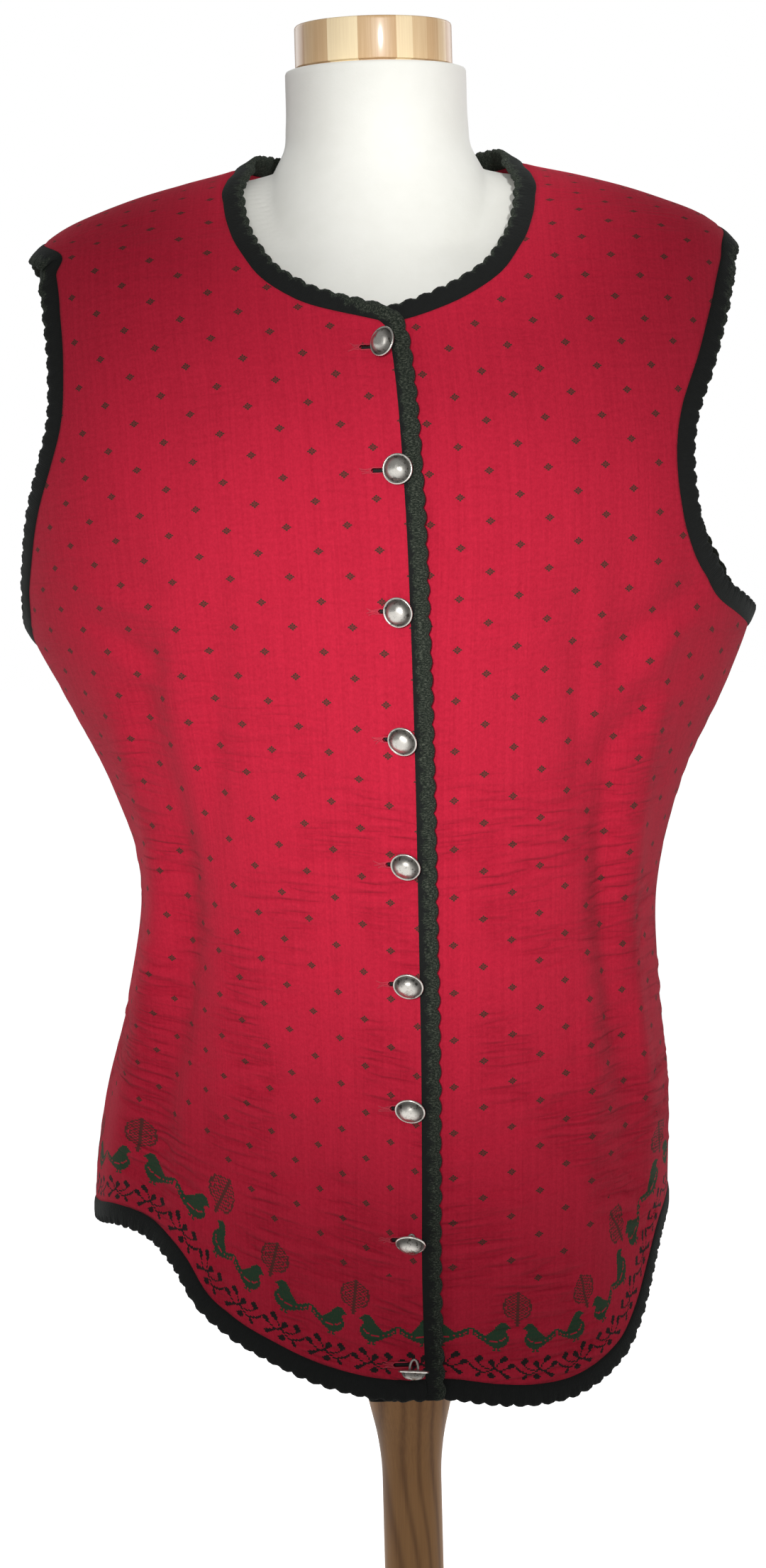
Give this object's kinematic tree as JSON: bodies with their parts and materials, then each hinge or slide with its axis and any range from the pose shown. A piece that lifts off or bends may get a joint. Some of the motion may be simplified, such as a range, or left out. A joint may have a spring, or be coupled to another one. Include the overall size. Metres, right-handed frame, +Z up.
{
  "type": "sleeveless knit cardigan on a limbless dress form",
  "caption": "Sleeveless fine-knit cardigan with shirt-tail hem, scalloped edging and domed buttons, worn by a limbless dress form on a turned pole and round base.",
  "frame": {"origin": "middle of the stand base's underside", "axes": "+Z up, -Y towards the front of the cardigan, -X towards the wearer's right"},
  "size_m": [0.4673, 0.4, 1.3573],
  "materials": {
    "crimson_knit": "fine wool jersey",
    "black_edging": "knitted scalloped edging",
    "pewter": "worn pewter",
    "form_cloth": "brushed cream cloth",
    "cap_wood": "lacquered laminated wood",
    "stand_wood": "satin pine"
  },
  "bodies": {
    "root": {"front_right": "crimson_knit", "front_left": "crimson_knit", "back": "crimson_knit", "front_band_right": "black_edging", "neck_trim_right": "black_edging", "hem_trim_right": "black_edging", "armhole_trim_right_front": "black_edging", "front_band_left": "black_edging", "neck_trim_left": "black_edging", "hem_trim_left": "black_edging", "armhole_trim_left_front": "black_edging", "neck_trim_back": "black_edging", "hem_trim_back": "black_edging", "armhole_trim_left_back": "black_edging", "armhole_trim_right_back": "black_edging", "button_1": "pewter", "button_2": "pewter", "button_3": "pewter", "button_4": "pewter", "button_5": "pewter", "button_6": "pewter", "button_7": "pewter", "button_8": "pewter", "button_9": "pewter", "form_torso": "form_cloth", "form_cap": "cap_wood", "stand_pole": "stand_wood", "stand_base": "stand_wood"}
  },
  "joints": []
}
